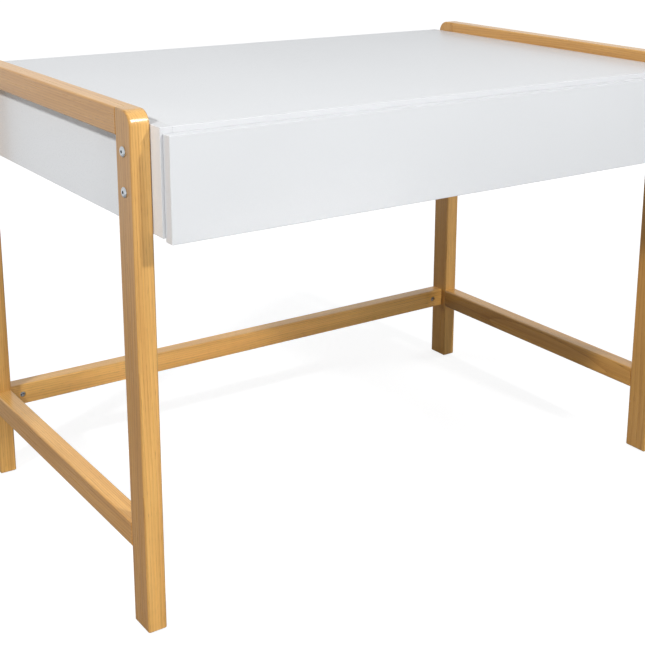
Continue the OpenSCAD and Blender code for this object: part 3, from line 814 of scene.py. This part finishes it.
def barrel_nut_set(node="barrel_nuts"):
    """Cross-drilled nuts with a screwdriver slot across their visible end."""
    nuts = bmesh.new()
    slots = bmesh.new()
    for low, high in solids_of(node):
        centre = (low + high) / 2
        radius = (high.x - low.x) / 2
        length = high.y - low.y
        profile = [(0, 0), (radius - NUT_CHAMFER, 0), (radius, NUT_CHAMFER),
                   (radius, length - NUT_CHAMFER), (radius - NUT_CHAMFER, length), (0, length)]
        face = Vector((centre.x, low.y, centre.z))
        lathe(nuts, profile, "Y", face, 1, 48)
        wedge(slots, "Y", face, -1, 4.2 * MM, 0.6 * MM, 1.5 * MM)
    made = to_object("nuts_" + node, nuts, [BOLT_STEEL])
    # The slots' faces get painted shade
    cut(made, slots, RECESS_SHADE)
    drill(made, node, BOLT_STEEL, ("stretcher_bolts", "X", THREADED_HOLE))
    return finish_piece(made, node, sharp=FITTING_SHARP)


def glide(node):
    """Nail-on glide: a disc with a rounded tread, a dimple over the nail, and the nail."""
    low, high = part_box(node)
    centre = (low + high) / 2
    radius = (high.x - low.x) / 2
    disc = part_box(node.replace("glide", "leg"))[0].z
    dimple, nail, nail_point = 0.25 * MM, 1.0 * MM, 1.5 * MM
    profile = [(0, dimple), (2.2 * MM, dimple), (2.8 * MM, 0), (radius - 1.0 * MM, 0),
               (radius - 0.3 * MM, 0.3 * disc), (radius, 0.65 * disc), (radius - 0.2 * MM, disc),
               (nail, disc), (nail, high.z - nail_point), (0, high.z)]
    bm = bmesh.new()
    lathe(bm, profile, "Z", Vector((centre.x, centre.y, 0)), 1, 48)
    made = to_object("foot_" + node, bm, [GLIDE_PLASTIC])
    return finish_piece(made, node)


def bumper_set(node="drawer_bumpers"):
    """Clear domed pads on the back of the drawer front."""
    bm = bmesh.new()
    for low, high in solids_of(node):
        centre = (low + high) / 2
        radius, height = (high.x - low.x) / 2, high.y - low.y
        profile = [(0, 0), (radius, 0)]
        for step in range(1, 6):
            angle = math.radians(18 * step)
            profile.append((radius * math.cos(angle), height * math.sin(angle)))
        lathe(bm, profile, "Y", Vector((centre.x, low.y, centre.z)), 1, 32)
    made = to_object("pads_" + node, bm, [BUMPER_PLASTIC])
    return finish_piece(made, node, sharp=50)


barrel_nut_set()
bumper_set()
for corner in ("left_front", "left_rear", "right_front", "right_rear"):
    glide(corner + "_glide")

# ---------------------------------------------------------------- drawer slides

# The steel's thickness, the outer radius of its folds, and half the width of its screw slots
SHEET = 1.2 * MM
FOLD = 2.4 * MM
SLOT = 2.15 * MM


def channel_outline(depth, half):
    """Section of a folded sheet channel: distance from the back of its web, and height."""
    def arc(centre, radius, start, stop):
        for step in range(6):
            angle = math.radians(start + (stop - start) * step / 5)
            yield centre[0] + radius * math.cos(angle), centre[1] + radius * math.sin(angle)

    lip = SHEET / 2
    lower = [*arc((depth - lip, -half + lip), lip, 90, -90), *arc((FOLD, -half + FOLD), FOLD, 270, 180)]
    upper = [*arc((FOLD, half - FOLD), FOLD, 180, 90), *arc((depth - lip, half - lip), lip, 90, -90)]
    inner = FOLD - SHEET
    back = [*arc((FOLD, half - FOLD), inner, 90, 180), *arc((FOLD, -half + FOLD), inner, 180, 270)]
    return lower + upper + back


def slot_outline(y, z, half_length):
    """Outline of a round-ended slot along Y."""
    outline = []
    for end, turned in ((-half_length, 90), (half_length, -90)):
        for step in range(9):
            angle = math.radians(turned + 180 * step / 8)
            outline.append((y + end + SLOT * math.cos(angle), z + SLOT * math.sin(angle)))
    return outline


def prism(bm, near, far):
    """Adds the solid between two outlines."""
    near, far = ([bm.verts.new(corner) for corner in outline] for outline in (near, far))
    for i in range(len(near)):
        bm.faces.new((near[i - 1], near[i], far[i], far[i - 1]))
    bm.faces.new(near)
    bm.faces.new(far)


def slide_rail(node, opens, slots):
    """Rolled steel rail.

    opens is which way its flanges point, out from the middle of the desk or in.
    slots are (distance from the front end, half the length of the straight part)."""
    low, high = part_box(node)
    side = 1 if low.x + high.x > 0 else -1
    toward = side * (1 if opens == "out" else -1)
    web = low.x if toward > 0 else high.x
    depth, half, mid_z = high.x - low.x, (high.z - low.z) / 2, (high.z + low.z) / 2
    section = [(web + toward * a, mid_z + b) for a, b in channel_outline(depth, half)]
    bm = bmesh.new()
    prism(bm, *([(x, y, z) for x, z in section] for y in (low.y, high.y)))
    bmesh.ops.remove_doubles(bm, verts=bm.verts, dist=FINE_WELD)
    bmesh.ops.recalc_face_normals(bm, faces=bm.faces)
    made = to_object("rail_" + node, bm, [SLIDE_STEEL])
    cutter = bmesh.new()
    for y, half_length in slots:
        outline = slot_outline(low.y + y, mid_z, half_length)
        prism(cutter, *([(web + toward * level, *p) for p in outline] for level in (-MM, SHEET + MM)))
    bmesh.ops.recalc_face_normals(cutter, faces=cutter.faces)
    cut(made, cutter, SLIDE_STEEL)
    return finish_piece(made, node, sharp=32)


# Balls in a row, and their clearance from the rails
BALLS = 18
BALL_GAP = 0.1 * MM
# Length of a row's strip, how far its ends lie past the last balls, and half its size
CAGE_LENGTH = 0.250
CAGE_END = 0.012
CAGE_STRIP = (1.5 * MM, CAGE_LENGTH / 2, 0.3 * MM)
# Where the strips on each side of the middle rail start along Y
CABINET_CAGE_Y = -0.085
DRAWER_CAGE_Y = -0.323


def cage_strip(bm, centre):
    """Adds the strip that holds a row of balls."""
    half = Vector(CAGE_STRIP)
    strip = rounded_block("Z", centre - half, centre + half, (0.6 * MM,) * 4, 0.1 * MM, 3, 2)
    mesh = bpy.data.meshes.new("strip")
    strip.to_mesh(mesh)
    strip.free()
    bm.from_mesh(mesh)
    bpy.data.meshes.remove(mesh)


def ball_cages(side):
    """Two rows of steel balls in their strips on each face of the middle rail."""
    sign = 1 if side == "right" else -1
    parts = ("cabinet", "middle", "drawer")
    cabinet, middle, drawer = (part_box(f"{side}_slide_{part}_rail") for part in parts)
    mid_z = (middle[0].z + middle[1].z) / 2
    bm = bmesh.new()
    for outer, inner, start in ((cabinet, middle, CABINET_CAGE_Y), (middle, drawer, DRAWER_CAGE_Y)):
        gap = (outer[1].z - SHEET - inner[1].z) / 2
        _, near, far, _ = sorted(abs(corner.x) for corner in (*outer, *inner))
        x = sign * (near + far) / 2
        for up in (-1, 1):
            z = mid_z + up * (inner[1].z - mid_z + gap)
            cage_strip(bm, Vector((x, start + CAGE_LENGTH / 2, z)))
            for k in range(BALLS):
                y = start + CAGE_END + k * (CAGE_LENGTH - 2 * CAGE_END) / (BALLS - 1)
                at = Matrix.Translation((x, y, z))
                bmesh.ops.create_icosphere(bm, subdivisions=2, radius=gap - BALL_GAP, matrix=at)
    made = to_object(side + "_slide_ball_cages", bm, [BOLT_STEEL])
    made.data.shade_smooth()
    made.data.set_sharp_from_angle(angle=math.radians(40))
    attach(made, BODY_OF[side + "_slide_middle_rail"])


# Holes in the rails: distance from the front end, and half the length of the slot's straight part
ROUND = 0.0
SLOTTED = 3.5 * MM
SCREW_HOLES = [(0.035, ROUND), (0.227, ROUND), (0.419, ROUND)]
SPARE_HOLES = [(0.010, ROUND), (0.095, SLOTTED), (0.160, ROUND),
               (0.290, SLOTTED), (0.355, ROUND), (0.480, SLOTTED)]
MIDDLE_HOLES = [(0.030, 2 * MM), (0.250, ROUND), (0.470, 2 * MM)]
for side in ("left", "right"):
    slide_rail(side + "_slide_cabinet_rail", "in", SCREW_HOLES + SPARE_HOLES)
    slide_rail(side + "_slide_drawer_rail", "out", SCREW_HOLES + SPARE_HOLES)
    slide_rail(side + "_slide_middle_rail", "in", MIDDLE_HOLES)
    ball_cages(side)

# ---------------------------------------------------------------- hidden CAD parts that stay

for finish, nodes in (
    (BEECH["Y"], ("left_frame_dowels", "right_frame_dowels", "drawer_dowels")),
    (BEECH["X"], ("stretcher_dowels", "top_dowels")),
    (BEECH["Z"], ("back_dowels",)),
    (ZINC, ("left_insert_nuts", "right_insert_nuts", "top_cam_pins", "back_cam_pins", "drawer_cam_pins")),
):
    for node in nodes:
        slots = frame["nodes"][node].data.materials
        slots.clear()
        slots.append(finish)

# ---------------------------------------------------------------- stage, lights, camera

# How far the floor lies under the glides and reaches to each side, and the unit of distance on it
FLOOR_GAP = 0.2 * MM
FLOOR_REACH = 14.0
WHITE_REACH = 4.0
# The floor as a giver of light, and the studio in reflections and as a giver of light
FLOOR_TONE = grey(0.30)
STUDIO_MIRRORED = grey(0.78)
STUDIO_LIGHT = (0.177, 0.190, 0.208)


def studio_tone(tree, seen, mirrored, lit):
    """The studio's tone to the eye, its tone in reflections, and its tone in the light that it gives."""
    rays = tree.nodes.new("ShaderNodeLightPath")
    tone = lit
    for ray, next_tone in (("Is Glossy Ray", mirrored), ("Is Camera Ray", seen)):
        mix = tree.nodes.new("ShaderNodeMix")
        mix.data_type = "RGBA"
        tone = mix_colours(tree, mix, rays.outputs[ray], tone, next_tone)
    return tone


def floor():
    """Pale floor just under the glides.

    To the eye it also glows, so that shadows on it stay faint, and further off it is all white.
    The glow gives no light, and the floor mirrored in glossy pieces brightens only further off."""
    bm = bmesh.new()
    bmesh.ops.create_grid(bm, x_segments=2, y_segments=2, size=FLOOR_REACH)
    bmesh.ops.translate(bm, vec=(0, 0, cad_low.z - FLOOR_GAP), verts=bm.verts)
    finish = Nodes("pale_floor")
    away = finish.vector("LENGTH", finish.add("TexCoord").outputs["Object"])
    away = finish.math("DIVIDE", away, WHITE_REACH)
    glow = finish.ramp(away, [(0.2, grey(0.84)), (0.7, grey(0.99))])
    gleam = finish.ramp(away, [(0.3, grey(0.0)), (0.8, grey(0.7))])
    base = studio_tone(finish.tree, grey(0.25), FLOOR_TONE, FLOOR_TONE)
    finish.link(base, finish.shader.inputs["Base Color"])
    finish.link(studio_tone(finish.tree, glow, gleam, grey(0.0)), finish.shader.inputs["Emission Color"])
    finish.shade(Roughness=0.9, Specular_IOR_Level=0.0, Emission_Strength=1.0)
    to_object("floor", bm, [finish.material])


def softbox(name, target, direction, distance, size, power, mirrored=True, spread=math.pi):
    """Area light that faces a target from a direction.

    mirrored says whether glossy surfaces show it, and spread is the angle of its beam."""
    data = bpy.data.lights.new(name, "AREA")
    data.shape = "RECTANGLE"
    data.size, data.size_y = size
    data.energy = power
    data.spread = spread
    lamp = bpy.data.objects.new(name, data)
    bpy.context.scene.collection.objects.link(lamp)
    away = Vector(direction).normalized()
    lamp.location = Vector(target) + away * distance
    lamp.rotation_euler = away.to_track_quat("Z", "Y").to_euler()
    lamp.visible_camera = False
    lamp.visible_glossy = mirrored


def world(mirrored, lit):
    """White studio walls and ceiling."""
    made = bpy.data.worlds.new("studio")
    made.use_nodes = True
    background = made.node_tree.nodes["Background"]
    tone = studio_tone(made.node_tree, grey(1.0), mirrored, lit)
    made.node_tree.links.new(tone, background.inputs["Color"])
    bpy.context.scene.world = made


# Points that the lights are aimed at, then a direction and two distances that some share
DESK = Vector(((cad_low.x + cad_high.x) / 2, (cad_low.y + cad_high.y) / 2, 0.6))
TOP = (0.0, 0.0, 0.73)
LEFT_RAIL = (-0.5, 0.0, 0.70)
LEG_TOP = (-0.51, -0.31, 0.74)
LEG_FOOT = (-0.51, -0.31, 0.30)
STRETCHER = (-0.12, 0.28, 0.14)
BACK = (0.0, 0.35, 0.6)
RIGHT_SIDE = (0.5, 0.0, 0.6)
LOW_FRONT = (-0.23, -1.0, 0.22)
FAR, NEAR = 3.3, 2.4


def lights():
    """Broad soft lights, and small ones that throw the left end's shadows or light the stretcher."""
    softbox("high_softbox", DESK, (-0.45, -0.65, 0.80), 3.2, (2.2, 2.2), 13, mirrored=False)
    softbox("overhead_softbox", TOP, (0.1, 0.1, 1.0), 1.7, (1.8, 1.2), 2)
    softbox("left_key", LEFT_RAIL, (-3.2, -1.45, 2.5), 4.3, (0.30, 0.30), 136, mirrored=False)
    softbox("key", LEG_TOP, (0.37, -0.735, 0.565), FAR, (0.20, 0.20), 60)
    softbox("low_key", LEG_FOOT, LOW_FRONT, FAR, (0.25, 0.25), 20, mirrored=False)
    softbox("stretcher_key", STRETCHER, LOW_FRONT, FAR, (0.15, 0.15), 0.22,
            mirrored=False, spread=math.radians(16))
    softbox("rear_softbox", BACK, (-0.5, 1.0, 0.15), NEAR, (1.0, 1.0), 22, mirrored=False)
    softbox("right_softbox", RIGHT_SIDE, (1.0, 0.1, 0.22), NEAR, (1.6, 1.2), 27)


# The photo's point of view in metres and degrees, then the lens and sensor in millimetres and the
# lens's shift in widths of the picture
EYE = (-1.181, -1.726, 1.032)
HEADING, DIP, ROLL = (math.radians(angle) for angle in (35.92, 14.65, 0.65))
LENS = 68.92
SENSOR = 36.0
SHIFT = (-0.07, -0.18)


def camera():
    """A long lens a little above the desk, in front of it and beyond its left end."""
    data = bpy.data.cameras.new("camera")
    data.sensor_width = SENSOR
    data.lens = LENS
    data.shift_x, data.shift_y = SHIFT
    made = bpy.data.objects.new("camera", data)
    bpy.context.scene.collection.objects.link(made)
    turn = Matrix.Rotation(-HEADING, 4, "Z") @ Matrix.Rotation(math.pi / 2 - DIP, 4, "X")
    made.matrix_world = Matrix.Translation(EYE) @ turn @ Matrix.Rotation(ROLL, 4, "Z")
    bpy.context.scene.camera = made


floor()
world(STUDIO_MIRRORED, STUDIO_LIGHT)
lights()
camera()

scene = bpy.context.scene
scene.view_settings.view_transform = "Standard"
scene.view_settings.look = "None"
scene.view_settings.exposure = 0.0
